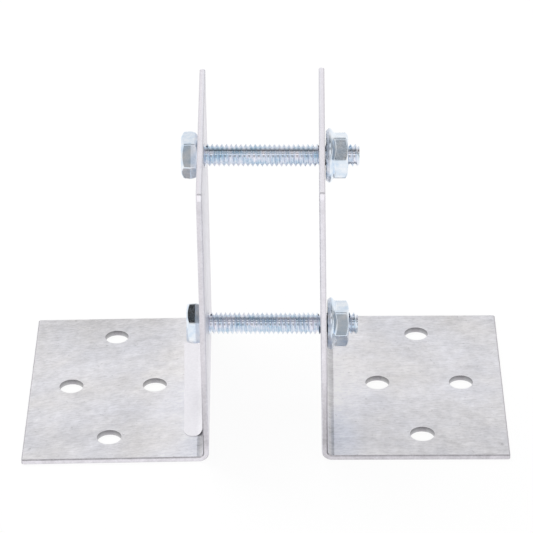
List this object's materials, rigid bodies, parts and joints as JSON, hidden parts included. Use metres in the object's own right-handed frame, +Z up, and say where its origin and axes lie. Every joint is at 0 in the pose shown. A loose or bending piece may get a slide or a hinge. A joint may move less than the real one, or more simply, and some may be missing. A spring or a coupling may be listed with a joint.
{
  "type": "timber post base",
  "caption": "Two-piece timber post base: mirrored folded sheet brackets with anchor holes, drawn together by through bolts with flange nuts.",
  "frame": {"origin": "on the floor, under the middle of the pair", "axes": "+X across the pair towards the nuts, +Y along the folds away from the viewer, +Z up"},
  "size_m": [0.1338, 0.0712, 0.0831],
  "materials": {
    "sheet": "mill-brushed sheet with fine streaks across the plates",
    "fastener": "bright blue-white zinc plating",
    "label": "smooth white paper, blank"
  },
  "bodies": {
    "root": {"left_bracket": "sheet", "right_bracket": "sheet", "lower_bolt": "fastener", "upper_bolt": "fastener", "lower_flange_nut": "fastener", "upper_flange_nut": "fastener", "label_strip": "label"}
  },
  "joints": []
}
